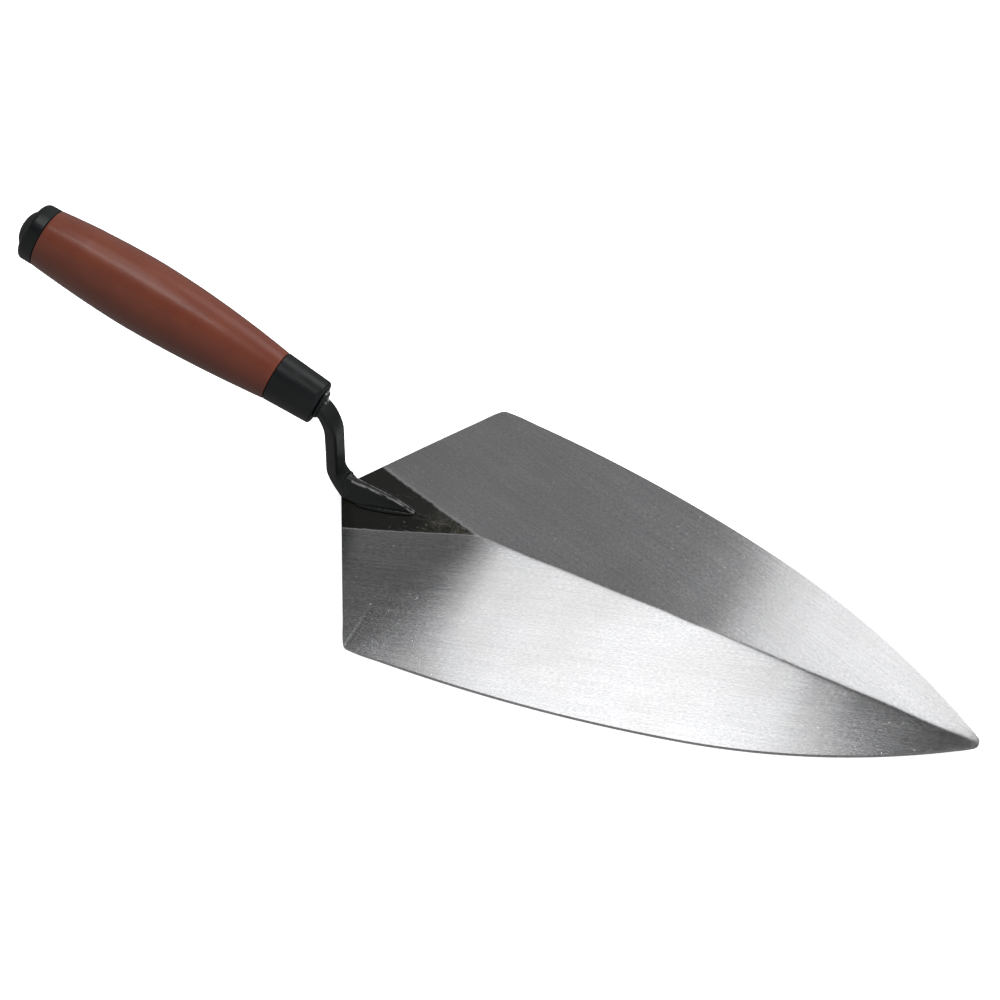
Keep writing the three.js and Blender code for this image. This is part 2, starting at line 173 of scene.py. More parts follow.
def new_object(name, mesh):
    """A smooth-shaded object for the mesh."""
    piece = bpy.data.objects.new(name, mesh)
    bpy.context.scene.collection.objects.link(piece)
    mesh.polygons.foreach_set("use_smooth", [True] * len(mesh.polygons))
    return piece


def mesh_of(name, points, faces):
    mesh = bpy.data.meshes.new(name)
    mesh.from_pydata([tuple(point) for point in points], [], faces)
    shape = bmesh.new()
    shape.from_mesh(mesh)
    bmesh.ops.remove_doubles(shape, verts=shape.verts, dist=1e-7)
    bmesh.ops.recalc_face_normals(shape, faces=shape.faces)
    shape.to_mesh(mesh)
    shape.free()
    return mesh


def applied(piece):
    """Turns the piece's modifiers into its mesh."""
    graph = bpy.context.evaluated_depsgraph_get()
    mesh = bpy.data.meshes.new_from_object(piece.evaluated_get(graph))
    piece.modifiers.clear()
    piece.data = mesh
    mesh.polygons.foreach_set("use_smooth", [True] * len(mesh.polygons))
    return piece


def ripple(point, length):
    """Smooth noise between about -1 and 1 with features of that length."""
    return noise.noise(Vector(point) / length)


def store(mesh, name, values):
    attribute = mesh.attributes.new(name, "FLOAT", "POINT")
    attribute.data.foreach_set("value", np.array(values, np.float32))


# ------------------------------------------------------------ blade

def blade():
    """The blade on the CAD's sections, with a rounded crease, broken edges and faint waves."""
    rows = finer(blade_sections(), ROW_PITCH)
    lean = math.atan2(HALF_WIDTH, TIP_X - rows[rows[:, 1].argmax(), 0])  # of the long edges
    shares = np.linspace(-1, 1, 2 * HALF_COLUMNS + 1)
    shares = np.sign(shares) * abs(shares) ** COLUMN_POWER
    points = []
    grain = []
    for x, half, crease_top, edge_top, crease_under, edge_under in rows:
        half = min(half, HALF_WIDTH) - EDGE_RAGGED * (1 + ripple((x, 0, 0), 3 * MM)) / 2
        bevel = min(EDGE_BEVEL, half / 3)
        wander = CREASE_WANDER * ripple((x, 1, 0), 16 * MM) * min(1, half / (12 * MM))
        rounding = min(CREASE_ROUNDING, half / 4)
        slope = (crease_top - edge_top) / half
        land = max(half - REST_LAND, half / 2)
        slope_under = (crease_under - edge_under) / land
        inner = shares * (half - bevel)
        across = inner + wander * (1 - abs(shares))
        soft = np.hypot(inner, rounding)
        swell = np.array([ripple((x, y, 0), WAVE_LENGTH) for y in across])
        top = crease_top - slope * soft + WAVE_HEIGHT * swell * (1 - abs(shares)) * 2
        under = np.maximum(edge_under, crease_under - slope_under * soft)
        ring = [(x, y, z) for y, z in zip(across, top)]
        ring += [(x, half, edge_top - bevel), (x, half, edge_under + bevel)]
        ring += [(x, y, z) for y, z in zip(across[::-1], under[::-1])]
        ring += [(x, -half, edge_under + bevel), (x, -half, edge_top - bevel)]
        points += ring
        flat = np.concatenate([inner, [half, half], inner[::-1], [half, half]])
        for y in abs(flat):
            across_grain = x * math.sin(lean) + y * math.cos(lean)
            along_grain = x * math.cos(lean) - y * math.sin(lean)
            grain.append((across_grain, along_grain))
    size = len(points) // len(rows)
    faces = []
    for row in range(len(rows) - 1):
        for i in range(size):
            a, b = row * size + i, row * size + (i + 1) % size
            faces.append((a, b, b + size, a + size))
    columns = len(shares)
    for row in (0, len(rows) - 1):
        start = row * size
        under_end = start + 2 * columns + 1
        faces.append((start, start + 1, under_end - 1, under_end, under_end + 1, under_end + 2))
        for i in range(1, columns - 2):
            faces.append((start + i, start + i + 1, under_end - i - 1, under_end - i))
        last = start + columns - 1
        faces.append((last - 1, last, last + 1, last + 2, last + 3, last + 4))
    mesh = bpy.data.meshes.new("blade")
    mesh.from_pydata(points, [], faces)
    layer = mesh.uv_layers.new(name="grain")
    for loop in mesh.loops:
        layer.data[loop.index].uv = grain[loop.vertex_index]
    shape = bmesh.new()
    shape.from_mesh(mesh)
    bmesh.ops.recalc_face_normals(shape, faces=shape.faces)
    shape.to_mesh(mesh)
    shape.free()
    piece = new_object("trowel_blade", mesh)
    mesh.set_sharp_from_angle(angle=SHARP_ANGLE)
    return piece


# ------------------------------------------------------------ handle

AXIS = Vector((math.cos(HANDLE_TILT), 0, -math.sin(HANDLE_TILT)))  # towards the blade
UPWARD = Vector((math.sin(HANDLE_TILT), 0, math.cos(HANDLE_TILT)))


def handle_coordinates(node):
    points = cad_points(node)
    return np.column_stack([points @ np.array(AXIS), points[:, 1], points @ np.array(UPWARD)])


def fit_arch():
    """The height of the handle's axis above its chord's line, as a curve of the distance along it."""
    points = handle_coordinates("grip_sleeve")
    rows = []
    for along in np.unique(points[:, 0].round(5)):
        ring = points[abs(points[:, 0] - along) < 1e-5]
        if len(ring) and np.ptp(ring[:, 1]) > 0:
            rows.append((along, (ring[:, 2].max() + ring[:, 2].min()) / 2))
    rows = np.array(rows)
    return np.polynomial.Polynomial.fit(rows[:, 0], rows[:, 1], 2)


axis_height = fit_arch()


def radial(node):
    """Each vertex of a turned CAD node as (along, radius)."""
    points = handle_coordinates(node)
    radius = np.hypot(points[:, 1], points[:, 2] - axis_height(points[:, 0]))
    return np.unique(np.column_stack([points[:, 0], radius]).round(5), axis=0)


def outside(node):
    """The outer profile of a turned, barrel-shaped CAD node, rear to front."""
    points = radial(node)
    widest = [points[points[:, 0] == along][-1] for along in np.unique(points[:, 0])]
    hull = []
    for point in widest:
        while len(hull) > 1:
            (x0, y0), (x1, y1) = hull[-2:]
            if (x1 - x0) * (point[1] - y0) - (y1 - y0) * (point[0] - x0) < 0:
                break
            hull.pop()
        hull.append(tuple(point))
    return np.array(hull)


def turned(name, profile, shape=None):
    """A closed solid turned on the handle's arched axis, from (along, radius) points.
    shape(along, angle, radius) is added to the radius; angle 0 is the top."""
    points = []
    for along, radius in profile:
        for step in range(TURNED_STEPS):
            angle = 2 * math.pi * step / TURNED_STEPS
            reach = radius + (shape(along, angle, radius) if shape else 0)
            side = reach * math.sin(angle)
            height = axis_height(along) + reach * math.cos(angle)
            points.append(AXIS * along + UPWARD * height + Vector((0, side, 0)))
    faces = []
    count = len(profile)
    for ring in range(count):
        after = (ring + 1) % count
        if ring == count - 1 and profile[0][1] == 0:
            break
        for step in range(TURNED_STEPS):
            beyond = (step + 1) % TURNED_STEPS
            a, b = ring * TURNED_STEPS + step, ring * TURNED_STEPS + beyond
            c, d = after * TURNED_STEPS + beyond, after * TURNED_STEPS + step
            faces.append((a, b, c, d))
    mesh = mesh_of(name, points, faces)
    piece = new_object(name, mesh)
    mesh.set_sharp_from_angle(angle=TURNED_SHARP_ANGLE)
    return piece


def rounded(centre, radius, start, end, steps=6):
    """Points (along, radius) on an arc, angles in degrees from the direction of the blade."""
    angles = np.radians(np.linspace(start, end, steps + 1))
    return [(centre[0] + radius * math.cos(a), centre[1] + radius * math.sin(a)) for a in angles]


def sleeve():
    """The soft grip: the CAD's barrel with rounded lips, the mould's step and its two seams."""
    outer = finer(outside("grip_sleeve"), SLEEVE_PITCH, measured=1)
    rear, front = outer[0, 0], outer[-1, 0]
    inside = radial("grip_sleeve")
    edge = np.interp(inside[:, 0], outer[:, 0], outer[:, 1])
    inside = inside[inside[:, 1] < edge - 1 * MM]
    inside = inside[inside[:, 0].argsort()][::-1]
    body = outer[(outer[:, 0] > rear + LIP) & (outer[:, 0] < front - LIP)]
    profile = rounded((rear + LIP, outer[0, 1] - LIP), LIP, 180, 90, 4)
    profile += [tuple(row) for row in body]
    profile += rounded((front - LIP, outer[-1, 1] - LIP), LIP, 90, 0, 4)
    profile += [tuple(row) for row in inside]

    def shape(along, angle, radius):
        if radius < np.interp(along, outer[:, 0], outer[:, 1]) - 2 * LIP:
            return 0
        behind = 1 / (1 + math.exp((along - rear - STEP_BACK) / STEP_RUN))
        step = STEP_HEIGHT * (behind - 0.5) * max(0, math.cos(angle)) ** 0.5
        off_seam = radius * math.asin(abs(math.cos(angle)))
        seam = SEAM_HEIGHT * math.exp(-((off_seam / SEAM_WIDTH) ** 2))
        place = (along, radius * math.cos(angle), radius * math.sin(angle))
        return step + seam + MOULDED_HEIGHT * ripple(place, 14 * MM)

    return turned("soft_grip", profile, shape)


def ferrule():
    """The ferrule at the handle's front, hollow behind its front wall."""
    points = radial("ferrule")
    outer = outside("ferrule")
    rear, front = outer[0, 0], outer[-1, 0]
    bore = points[:, 1].min()
    cup = points[points[:, 0] < rear + 1e-5][:, 1].min()
    wall = points[(points[:, 0] > rear + 1e-5) & (points[:, 0] < front - 1e-5)]
    wall = wall[wall[:, 1] <= bore + 1e-5][:, 0].max()
    body = finer(outer[1:], FERRULE_PITCH)
    cone = outer[1] - outer[0]
    profile = [(rear, outer[0, 1] - FERRULE_REAR_CHAMFER), tuple(outer[0] + cone * 0.012)]
    profile += [tuple(outer[0] + cone * share) for share in np.linspace(0.05, 0.95, 12)]
    profile += [tuple(row) for row in body]
    profile += [(front, bore), (wall, bore), (wall, cup), (rear, cup)]

    def shape(along, angle, radius):
        place = (along, radius * math.cos(angle), radius * math.sin(angle))
        return FERRULE_HEIGHT * ripple(place, 9 * MM) if radius > cup else 0

    return turned("handle_ferrule", profile, shape)


def cap():
    """The end cap: a rounded rim, a groove and a domed boss behind, and a spigot in front."""
    points = radial("end_cap")
    front = points[points[:, 1] > SPIGOT_RADIUS + MM][:, 0].max()
    spigot_end = points[:, 0].max()
    rim = points[:, 1].max()
    rear = front - CAP_LENGTH
    groove = rear + BOSS_RECESS
    profile = [(spigot_end, 0), (spigot_end, SPIGOT_RADIUS - SPIGOT_CHAMFER)]
    profile += [(spigot_end - SPIGOT_CHAMFER, SPIGOT_RADIUS), (front, SPIGOT_RADIUS)]
    profile.append((front, rim - CAP_LIP))
    profile += rounded((front - CAP_LIP, rim - CAP_LIP), CAP_LIP, 60, 90, 3)
    profile += rounded((rear + CAP_EDGE, rim - CAP_TAPER - CAP_EDGE), CAP_EDGE, 90, 180, 12)
    profile += rounded((rear + BOSS_FILLET, BOSS_RADIUS + 1.3 * MM), BOSS_FILLET * 0.5, 180, 230, 3)
    profile += [(groove, BOSS_RADIUS + 0.25 * MM)]
    for share in np.linspace(0.06, 1, BOSS_STEPS):
        angle = share * math.pi / 2
        height = (BOSS_PROUD + BOSS_RECESS) * math.sin(angle)
        profile.append((groove - height, BOSS_RADIUS * math.cos(angle) if share < 1 else 0))

    def shape(along, angle, radius):
        place = (along, radius * math.cos(angle), radius * math.sin(angle))
        return MOULDED_HEIGHT * ripple(place, 6 * MM) if radius > SPIGOT_RADIUS else 0

    return turned("handle_end_cap", profile, shape)


# ------------------------------------------------------------ tang and welds

def remeshed(node, name, voxel, smoothing):
    """A fine, softened copy of a CAD node's shape."""
    piece = new_object(name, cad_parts[node].data.copy())
    piece.data.materials.clear()
    remesh = piece.modifiers.new("remesh", "REMESH")
    remesh.mode = "VOXEL"
    remesh.voxel_size = voxel
    smooth = piece.modifiers.new("smooth", "SMOOTH")
    smooth.factor = 0.5
    smooth.iterations = smoothing
    return applied(piece)


def tang():
    """The forged tang, its foot let down onto the blade, with hammered faces, a worn crest and a
    painted highlight on the shoulder's upper face by the ferrule.
    """
    piece = remeshed("tang", "forged_tang", TANG_VOXEL, 4)
    mesh = piece.data
    lump = Vector((HEEL_POINT_X, 0, 0)) + Vector(LUMP_PLACE)
    crest = {}
    for vertex in mesh.vertices:
        place = vertex.co
        if place.x > HEEL_POINT_X + CREST_BACK and place.z < FOOT_TOP:
            step = round(place.x / MM)
            crest[step] = max(crest.get(step, 0), place.z)
    ferrule_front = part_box("ferrule")[1].x
    wear_and_glint = []
    moved = []
    for vertex in mesh.vertices:
        place, normal = vertex.co.copy(), vertex.normal.copy()
        share = (place.x - HEEL_POINT_X) / CREST_LENGTH
        half = CREST_BACK_HALF + (CREST_FRONT_HALF - CREST_BACK_HALF) * min(1, max(0, share))
        crest_height = crest.get(round(place.x / MM), 1)
        on_crest = place.x > HEEL_POINT_X + CREST_BACK and place.z > crest_height - CREST_DEPTH
        rub = math.exp(-(((abs(place.y) - half) / WORN_WIDTH) ** 2)) * on_crest
        # Painted highlight: the upward-facing upper side of the shoulder just ahead of the ferrule is
        # marked as bright bare steel, standing for a glint; the crest's rubbed edges are real wear.
        by_ferrule = abs(place.x - ferrule_front) < SHOULDER_REACH
        upper = place.z - axis_height(place.dot(AXIS)) > 1.5 * MM and place.z > 50 * MM
        on_shoulder = by_ferrule and upper and place.y > 0.6 * MM and normal.z > 0.35
        wear_and_glint.append(max(rub, SHOULDER_GLINT * on_shoulder))
        lift = FORGE_HEIGHT * ripple(place, FORGE_LENGTH)
        lift += 0.3 * FORGE_HEIGHT * ripple(place, FORGE_LENGTH / 4)
        near = max(0, 1 - ((place - lump).length / LUMP_REACH) ** 2)
        low = max(0, 1 - (place.z - blade_top(place.x, place.y) - FIT_GAP) / FOOT_DROP_FADE)
        place += normal * lift + LUMP_SWELL * LUMP_SIZE * near**2
        if place.x > HEEL_POINT_X and place.z < FOOT_TOP:
            place.z -= FOOT_DROP * min(1, low)
        moved.append(place)
    for vertex, place in zip(mesh.vertices, moved):
        vertex.co = place
    store(mesh, "wear_and_glint", wear_and_glint)
    return piece


sections = blade_sections()


def blade_top(x, y):
    """Height of the CAD blade's top face."""
    half = np.interp(x, sections[:, 0], sections[:, 1])
    side = max(half, HALF_WIDTH if x < 0 else half)
    crease = np.interp(x, sections[:, 0], sections[:, 2])
    edge = np.interp(x, sections[:, 0], sections[:, 3])
    return crease - (crease - edge) * min(1, abs(y) / side)


def weld(node):
    """A weld bead with its ripples, swollen and moved to meet the foot and the blade."""
    piece = remeshed(node, node + "_run", WELD_VOXEL, 4)
    mesh = piece.data
    inner = {}
    for vertex in mesh.vertices:
        step = round(vertex.co.x / MM)
        inner[step] = min(inner.get(step, 1), abs(vertex.co.y))
    moved = []
    for vertex in mesh.vertices:
        place, normal = vertex.co, vertex.normal
        bow = (place.x + 1.5 * abs(place.y)) / RIPPLE_PITCH
        waves = RIPPLE_HEIGHT * (0.5 + 0.5 * math.sin(2 * math.pi * bow)) * max(0, normal.z)
        made = place + normal * (WELD_SWELL + waves + 0.1 * MM * ripple(place, 2.5 * MM))
        made.z -= WELD_SINK * max(0, made.z - blade_top(made.x, made.y))
        beyond = abs(made.y) - inner[round(place.x / MM)]
        made.y -= math.copysign(WELD_INWARD + WELD_NARROW * max(0, beyond), made.y)
        moved.append(made)
    for vertex, place in zip(mesh.vertices, moved):
        vertex.co = place
    store(mesh, "wear_and_glint", [0.0] * len(mesh.vertices))
    return piece


# ------------------------------------------------------------ materials

class Recipe:
    """One material's nodes: each call adds a node and gives back its output."""

    def __init__(self, name):
        self.material = bpy.data.materials.new(name)
        self.material.use_nodes = True
        self.tree = self.material.node_tree
        self.tree.nodes.clear()
        self.shader = self.tree.nodes.new("ShaderNodeBsdfPrincipled")
        end = self.tree.nodes.new("ShaderNodeOutputMaterial")
        self.tree.links.new(self.shader.outputs["BSDF"], end.inputs["Surface"])

    def feed(self, socket, value):
        if isinstance(value, bpy.types.NodeSocket):
            self.tree.links.new(value, socket)
        else:
            socket.default_value = value

    def surface(self, **values):
        """Sets the shader's sockets; underscores stand for the spaces in their names."""
        for name, value in values.items():
            self.feed(self.shader.inputs[name.replace("_", " ")], value)

    def place(self):
        return self.tree.nodes.new("ShaderNodeTexCoord").outputs["Object"]

    def uv(self, name):
        node = self.tree.nodes.new("ShaderNodeUVMap")
        node.uv_map = name
        return node.outputs["UV"]

    def attribute(self, name):
        node = self.tree.nodes.new("ShaderNodeAttribute")
        node.attribute_name = name
        return node.outputs["Fac"]

    def scaled(self, vector, scale):
        node = self.tree.nodes.new("ShaderNodeVectorMath")
        node.operation = "MULTIPLY"
        self.feed(node.inputs[0], vector)
        node.inputs[1].default_value = scale
        return node.outputs["Vector"]

    def noise(self, vector, scale, detail=2.0, roughness=0.5, distortion=0.0):
        node = self.tree.nodes.new("ShaderNodeTexNoise")
        self.feed(node.inputs["Vector"], vector)
        settings = {"Scale": scale, "Detail": detail, "Roughness": roughness, "Distortion": distortion}
        for name, number in settings.items():
            node.inputs[name].default_value = number
        return node.outputs["Fac"]

    def range(self, value, low, high, start=0.0, end=1.0, smooth=False):
        """value from low..high to start..end, clamped."""
        node = self.tree.nodes.new("ShaderNodeMapRange")
        node.interpolation_type = "SMOOTHSTEP" if smooth else "LINEAR"
        self.feed(node.inputs["Value"], value)
        settings = {"From Min": low, "From Max": high, "To Min": start, "To Max": end}
        for name, number in settings.items():
            node.inputs[name].default_value = number
        return node.outputs["Result"]

    def math(self, operation, first, second=0.0):
        node = self.tree.nodes.new("ShaderNodeMath")
        node.operation = operation
        self.feed(node.inputs[0], first)
        self.feed(node.inputs[1], second)
        return node.outputs[0]

    def mix(self, factor, first, second):
        node = self.tree.nodes.new("ShaderNodeMix")
        node.data_type = "RGBA"
        self.feed(node.inputs[0], factor)
        self.feed(node.inputs[6], first)
        self.feed(node.inputs[7], second)
        return node.outputs[2]

    def parts(self, vector):
        node = self.tree.nodes.new("ShaderNodeSeparateXYZ")
        self.feed(node.inputs[0], vector)
        return node.outputs

    def bump(self, height, distance, strength=1.0, under=None):
        node = self.tree.nodes.new("ShaderNodeBump")
        self.feed(node.inputs["Height"], height)
        node.inputs["Distance"].default_value = distance
        node.inputs["Strength"].default_value = strength
        if under is not None:
            self.feed(node.inputs["Normal"], under)
        return node.outputs["Normal"]


def colour(red, green, blue):
    """A colour from its 0 to 255 sRGB values."""
    linear = []
    for value in (red / 255, green / 255, blue / 255):
        linear.append(value / 12.92 if value <= 0.04045 else ((value + 0.055) / 1.055) ** 2.4)
    return (*linear, 1.0)


def ground_steel():
    """Ground carbon steel with its grain along each long edge, and black lacquer over the heel.
    The lacquer is rubbed and scratched near its front end, and a white highlight is painted in a thin
    line along the crease just beyond it."""
    r = Recipe("ground_steel")
    place = r.place()
    grain = r.uv("grain")
    fine = r.noise(r.scaled(grain, (2300, 600, 1)), 1.0, 3.0, 0.65)
    lines = r.noise(r.scaled(grain, (1100, 50, 1)), 1.0, 2.0, 0.55)
    bands = r.noise(r.scaled(grain, (90, 9, 1)), 1.0, 2.0, 0.5)
    specks = r.range(r.noise(place, 900, 1.0), 0.74, 0.8)
    cloud = r.noise(place, 28, 3.0, 0.6)
    tone = r.math("ADD", r.math("MULTIPLY", fine, 0.65), r.math("MULTIPLY", lines, 0.25))
    tone = r.math("ADD", tone, r.math("MULTIPLY", bands, 0.1))
    steel = r.mix(r.range(tone, 0.38, 0.62), colour(180, 181, 184), colour(215, 215, 216))
    steel = r.mix(r.range(cloud, 0.4, 0.75, 0.0, 0.35), steel, colour(176, 174, 170))
    steel = r.mix(specks, steel, colour(245, 245, 245))

    x, y, _ = r.parts(place)
    behind = r.math("MULTIPLY", r.math("SUBTRACT", LACQUER_FRONT_X, x), LACQUER_SLOPE)
    off_centre = r.math("ADD", r.math("ABSOLUTE", y), r.math("MULTIPLY", y, LACQUER_SKEW))
    inside = r.math("SUBTRACT", behind, off_centre)
    inside = r.math("MULTIPLY", inside, r.range(y, -MM, MM, 1.0, 0.45))
    ragged = r.range(r.noise(place, 420, 3.0, 0.65), 0.0, 1.0, -0.5 * MM, 0.5 * MM)
    mask = r.range(r.math("ADD", inside, ragged), -0.5 * MM, 0.6 * MM, smooth=True)
    near_front = r.range(x, LACQUER_FRONT_X - 26 * MM, LACQUER_FRONT_X)
    rubbed = r.noise(r.scaled(place, (300, 900, 300)), 1.0, 4.0, 0.75, 1.5)
    rubbed = r.math("MULTIPLY", r.range(rubbed, 0.56, 0.7), near_front)
    scratched = r.noise(r.scaled(place, (90, 1500, 90)), 1.0, 2.0, 0.5, 2.5)
    fore_part = r.range(x, LACQUER_FRONT_X - 45 * MM, LACQUER_FRONT_X)
    scratched = r.math("MULTIPLY", r.range(scratched, 0.66, 0.7), fore_part)
    bare = r.math("MAXIMUM", r.math("MULTIPLY", rubbed, 0.5), r.math("MULTIPLY", scratched, 0.8))
    mask = r.math("MULTIPLY", mask, r.math("SUBTRACT", 1.0, bare))
    black = r.mix(r.noise(place, 60, 3.0), colour(15, 16, 14), colour(29, 29, 25))
    haze = r.math("MULTIPLY", near_front, r.range(r.noise(place, 240, 4.0, 0.7), 0.35, 0.7))
    black = r.mix(haze, black, colour(92, 89, 80))
    # painted highlight: the steel's colour is lightened to near white in a thin line along the crease
    # just past the lacquer's front end
    ridge = r.range(r.math("ABSOLUTE", y), 0.9 * MM, 0.2 * MM)
    past_front = r.range(x, LACQUER_FRONT_X - 4 * MM, LACQUER_FRONT_X)
    before_end = r.range(x, LACQUER_FRONT_X + 16 * MM, LACQUER_FRONT_X + 6 * MM)
    painted_glint = r.math("MULTIPLY", ridge, r.math("MULTIPLY", past_front, before_end))
    steel = r.mix(painted_glint, steel, colour(250, 250, 250))

    rough = r.range(tone, 0.38, 0.62, 0.175, 0.205)
    bumps = r.math("ADD", r.math("MULTIPLY", fine, 0.8), r.math("MULTIPLY", lines, 0.2))
    bumps = r.math("ADD", bumps, r.math("MULTIPLY", specks, -1.5))
    r.surface(
        Base_Color=r.mix(mask, steel, black),
        Metallic=r.math("SUBTRACT", 1.0, mask),
        Roughness=r.math("SUBTRACT", rough, r.math("MULTIPLY", mask, 0.02)),
        Anisotropic=0.6,
        Normal=r.bump(r.math("SUBTRACT", bumps, r.math("MULTIPLY", mask, -0.8)), 0.006 * MM),
    )
    tangent = r.tree.nodes.new("ShaderNodeTangent")
    tangent.direction_type = "UV_MAP"
    tangent.uv_map = "grain"
    r.tree.links.new(tangent.outputs["Tangent"], r.shader.inputs["Tangent"])
    return r.material


def black_lacquer():
    """Black lacquer over forged steel, turned bright bare steel where the stored attribute says: real
    wear along the crest's edges, and a painted highlight on the tang's shoulder by the ferrule.
    """
    r = Recipe("black_lacquer")
    place = r.place()
    peel = r.noise(place, 700, 2.0)
    lumps = r.noise(place, 180, 4.0, 0.6)
    broken = r.range(r.noise(r.scaled(place, (160, 900, 600)), 1.0, 3.0, 0.7), 0.42, 0.6)
    # bare steel: worn crest edges, and the painted highlight on the shoulder's upper face
    bare = r.math("MULTIPLY", r.attribute("wear_and_glint"), broken)
    black = r.mix(lumps, colour(9, 12, 12), colour(21, 24, 24))
    r.surface(
        Base_Color=r.mix(bare, black, colour(205, 205, 205)),
        Metallic=bare,
        Roughness=r.range(lumps, 0.25, 0.75, 0.3, 0.44),
        Specular_IOR_Level=0.55,
        Normal=r.bump(peel, 0.02 * MM, under=r.bump(lumps, 0.1 * MM)),
    )
    return r.material


def black_plastic():
    """Satin black moulded plastic with fine spark texture and light scuffs."""
    r = Recipe("black_plastic")
    place = r.place()
    spark = r.noise(place, 2600, 2.0)
    scuffs = r.noise(r.scaled(place, (120, 700, 700)), 1.0, 3.0, 0.6)
    cloud = r.noise(place, 90, 3.0)
    black = r.mix(r.range(cloud, 0.3, 0.7), colour(12, 14, 15), colour(20, 23, 24))
    black = r.mix(r.range(scuffs, 0.68, 0.76, 0.0, 0.35), black, colour(74, 78, 80))
    r.surface(
        Base_Color=black,
        Roughness=r.range(cloud, 0.3, 0.7, 0.32, 0.42),
        Normal=r.bump(spark, 0.02 * MM, under=r.bump(scuffs, 0.015 * MM)),
    )
    return r.material


def core_plastic():
    """Hard grey plastic of the core, with flow marks along it."""
    r = Recipe("core_plastic")
    place = r.place()
    flow = r.noise(r.scaled(place, (40, 400, 400)), 1.0, 3.0, 0.6)
    grit = r.noise(place, 1500, 2.0)
    r.surface(
        Base_Color=r.mix(flow, colour(36, 38, 40), colour(52, 54, 57)),
        Roughness=r.range(flow, 0.3, 0.7, 0.48, 0.62),
        Normal=r.bump(grit, 0.03 * MM),
    )
    return r.material


def brown_rubber():
    """Red-brown soft grip: satin, faintly mottled, with a fine moulded texture."""
    r = Recipe("brown_rubber")
    place = r.place()
    mottle = r.noise(place, 45, 4.0, 0.6)
    flow = r.noise(r.scaled(place, (12, 60, 60)), 1.0, 2.0, 0.5)
    skin = r.noise(place, 1700, 3.0, 0.6)
    dust = r.range(r.noise(place, 1200, 2.0), 0.72, 0.8, 0.0, 0.25)
    base = r.mix(r.range(mottle, 0.3, 0.7), colour(106, 52, 38), colour(118, 62, 45))
    base = r.mix(r.range(flow, 0.4, 0.8, 0.0, 0.4), base, colour(95, 46, 35))
    base = r.mix(dust, base, colour(168, 128, 112))
    r.surface(
        Base_Color=base,
        Roughness=r.range(flow, 0.3, 0.7, 0.26, 0.34),
        Specular_IOR_Level=0.5,
        Sheen_Weight=0.12,
        Sheen_Roughness=0.4,
        Normal=r.bump(skin, 0.03 * MM, under=r.bump(mottle, 0.03 * MM)),
    )
    return r.material


# ------------------------------------------------------------ assembly

def dress(piece, material, slot, *nodes):
    """Gives the piece its material and its place on the frame, and hides the CAD nodes that it stands
    for.
    """
    piece.data.materials.clear()
    piece.data.materials.append(material)
    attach(piece, "root")
    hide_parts(*nodes)


steel = ground_steel()
lacquer = black_lacquer()
plastic = black_plastic()
rubber = brown_rubber()
core = core_plastic()
dress(blade(), steel, "ground_steel", "blade")
dress(tang(), lacquer, "black_lacquer", "tang")
for bead in ("weld_bead_left", "weld_bead_right"):
    dress(weld(bead), lacquer, "black_lacquer", bead)
dress(ferrule(), plastic, "black_plastic", "ferrule")
dress(sleeve(), rubber, "grip_rubber", "grip_sleeve")
dress(cap(), plastic, "black_plastic", "end_cap")
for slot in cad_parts["handle_core"].material_slots:
    slot.material = core


# ------------------------------------------------------------ camera

AZIMUTH = math.radians(25.45)
ELEVATION = math.radians(50.0)
ROLL = math.radians(1.68)
CAMERA_DISTANCE = 0.9925
CAMERA_LENS = 89.8
AIM_BACK = 0.140  # the camera looks at a point this far behind the tip,
AIM_RIGHT = -0.0576  # moved this far to its right
AIM_UP = 0.0455  # and this far up, both across the line of sight


def camera():
    """The photograph's camera, looking down on the blade from its right side and a little ahead."""
    outward = math.cos(ELEVATION)
    sideways = -math.cos(AZIMUTH) * outward
    back = Vector((math.sin(AZIMUTH) * outward, sideways, math.sin(ELEVATION)))
    level = Vector((math.cos(AZIMUTH), math.sin(AZIMUTH), 0))
    rise = back.cross(level)
    right = math.cos(ROLL) * level + math.sin(ROLL) * rise
    up = math.cos(ROLL) * rise - math.sin(ROLL) * level
    aim = Vector((TIP_X - AIM_BACK, 0, 0)) + AIM_RIGHT * right + AIM_UP * up
    data = bpy.data.cameras.new("camera")
    data.lens = CAMERA_LENS
    data.clip_start = 0.05
    view = bpy.data.objects.new("camera", data)
    bpy.context.scene.collection.objects.link(view)
    turn = Matrix((right, up, back)).transposed().to_4x4()
    view.matrix_world = Matrix.Translation(aim + back * CAMERA_DISTANCE) @ turn
    bpy.context.scene.camera = view


camera()


# ------------------------------------------------------------ floor and light

FLOOR_REACH = 6.0
FLOOR_BELOW = 0.1 * MM  # keeps the floor from touching the blade
WHITE = (1, 1, 1, 1)


def floor():
    """A plain pale floor that glows a little, so that shadows on it stay faint."""
    corners = [(x * FLOOR_REACH, y * FLOOR_REACH, 0) for x, y in ((-1, -1), (1, -1), (1, 1), (-1, 1))]
    mesh = mesh_of("floor", corners, [(0, 1, 2, 3)])
    piece = new_object("floor", mesh)
    piece.location.z = -FLOOR_BELOW
    r = Recipe("pale_floor")
    tone = r.noise(r.place(), 3.0, 3.0)
    r.surface(
        Base_Color=r.mix(tone, colour(243, 243, 243), colour(248, 248, 248)),
        Roughness=0.9,
        Specular_IOR_Level=0.1,
        Emission_Color=WHITE,
        Emission_Strength=0.75,
    )
    mesh.materials.append(r.material)
    piece.visible_diffuse = False
    piece.visible_glossy = False


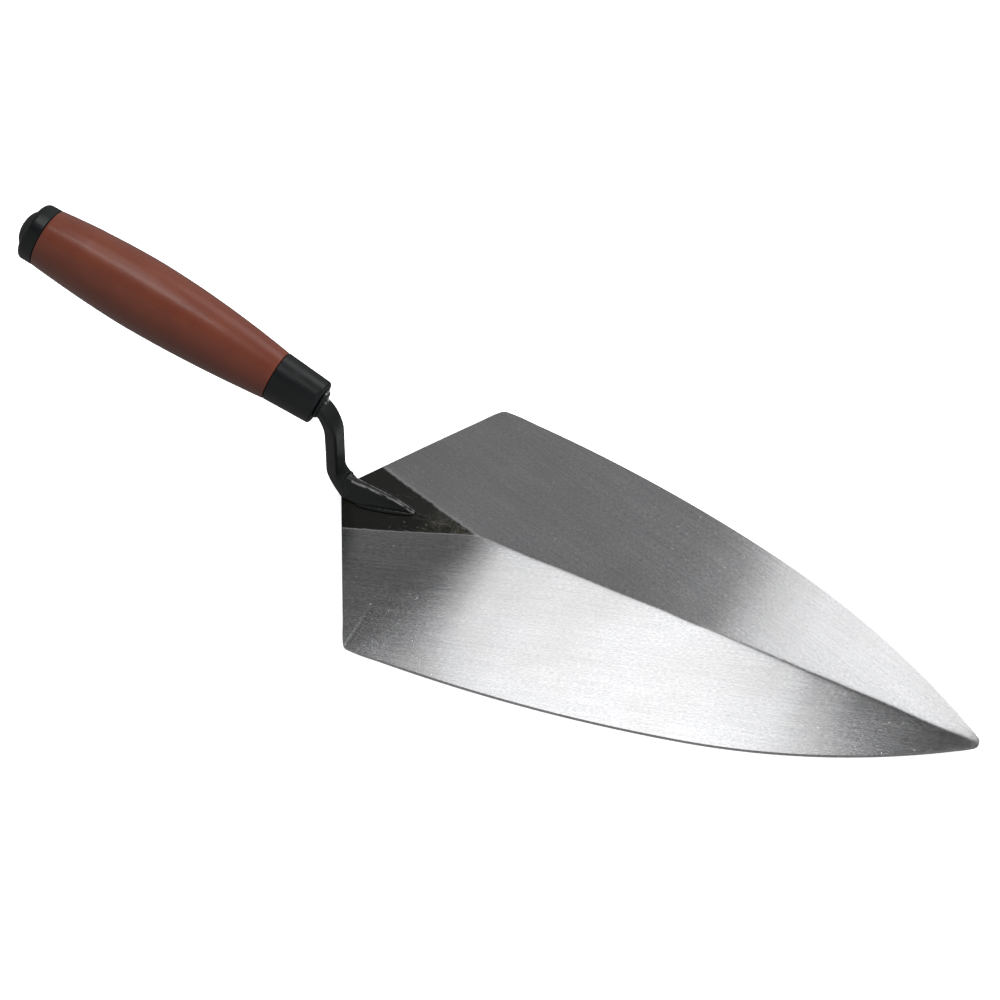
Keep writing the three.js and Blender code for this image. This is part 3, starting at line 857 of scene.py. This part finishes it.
def softbox(name, target, direction, distance, size, power, mirrored=True):
    """A rectangular soft light that faces the target from that direction.
    One that isn't mirrored lights the matt surfaces without a reflection of its own."""
    data = bpy.data.lights.new(name, "AREA")
    data.shape = "RECTANGLE"
    data.size, data.size_y = size
    data.energy = power
    light = bpy.data.objects.new(name, data)
    bpy.context.scene.collection.objects.link(light)
    light.visible_glossy = mirrored
    direction = Vector(direction).normalized()
    light.location = Vector(target) + direction * distance
    light.rotation_mode = "QUATERNION"
    light.rotation_quaternion = direction.to_track_quat("Z", "Y")


SKY_SIDES = (0.66, 0.28)  # up to this height of the sky, as a sine, it is this strong
SKY_OVERHEAD = (0.86, 0.03)  # and above this one, this strong
BELOW_RIGHT = (-0.6, 1.1)  # below the horizon, its share of that at this sine to the blade's right
BELOW_LEFT = (0.6, 0.3)  # and to its left
HORIZON = (-0.3, 0.1)  # the two blend over this height


def sky():
    """Even light all round, dark overhead; below the horizon the right is brighter than the left."""
    world = bpy.data.worlds.new("studio")
    world.use_nodes = True
    tree = world.node_tree
    background = tree.nodes["Background"]
    background.inputs["Color"].default_value = WHITE
    parts = tree.nodes.new("ShaderNodeSeparateXYZ")
    place = tree.nodes.new("ShaderNodeTexCoord")
    tree.links.new(place.outputs["Generated"], parts.inputs[0])

    def ramp(axis, low, high, start, end):
        node = tree.nodes.new("ShaderNodeMapRange")
        tree.links.new(parts.outputs[axis], node.inputs["Value"])
        settings = {"From Min": low, "From Max": high, "To Min": start, "To Max": end}
        for name, number in settings.items():
            node.inputs[name].default_value = number
        return node.outputs["Result"]

    strength = ramp("Z", SKY_SIDES[0], SKY_OVERHEAD[0], SKY_SIDES[1], SKY_OVERHEAD[1])
    side = ramp("Y", BELOW_RIGHT[0], BELOW_LEFT[0], BELOW_RIGHT[1], BELOW_LEFT[1])
    shade = tree.nodes.new("ShaderNodeMix")
    tree.links.new(ramp("Z", HORIZON[0], HORIZON[1], 0.0, 1.0), shade.inputs[0])
    tree.links.new(side, shade.inputs[2])
    shade.inputs[3].default_value = 1.0
    product = tree.nodes.new("ShaderNodeMath")
    product.operation = "MULTIPLY"
    tree.links.new(strength, product.inputs[0])
    tree.links.new(shade.outputs[0], product.inputs[1])
    tree.links.new(product.outputs[0], background.inputs["Strength"])
    bpy.context.scene.world = world


floor()
sky()
blade_middle = (TIP_X - 0.12, 0, 0)
grip_middle = (-0.15, 0, 0.07)
softbox("key", blade_middle, (-0.124, 0.24, 0.96), distance=1.6, size=(0.42, 1.04), power=2.42)
softbox("far", blade_middle, (0.165, 0.78, 0.62), distance=1.6, size=(0.9, 0.65), power=2.65)
softbox("strip", grip_middle, (0.0, 0.06, 1.0), distance=1.5, size=(0.8, 0.13), power=2.2)
softbox("ahead", blade_middle, (0.80, 0.15, 0.62), 2.0, size=(1.2, 1.2), power=46, mirrored=False)
softbox("behind", blade_middle, (-0.90, 0.0, 0.40), 2.0, size=(1.2, 1.2), power=13, mirrored=False)
bpy.context.scene.view_settings.view_transform = "Standard"
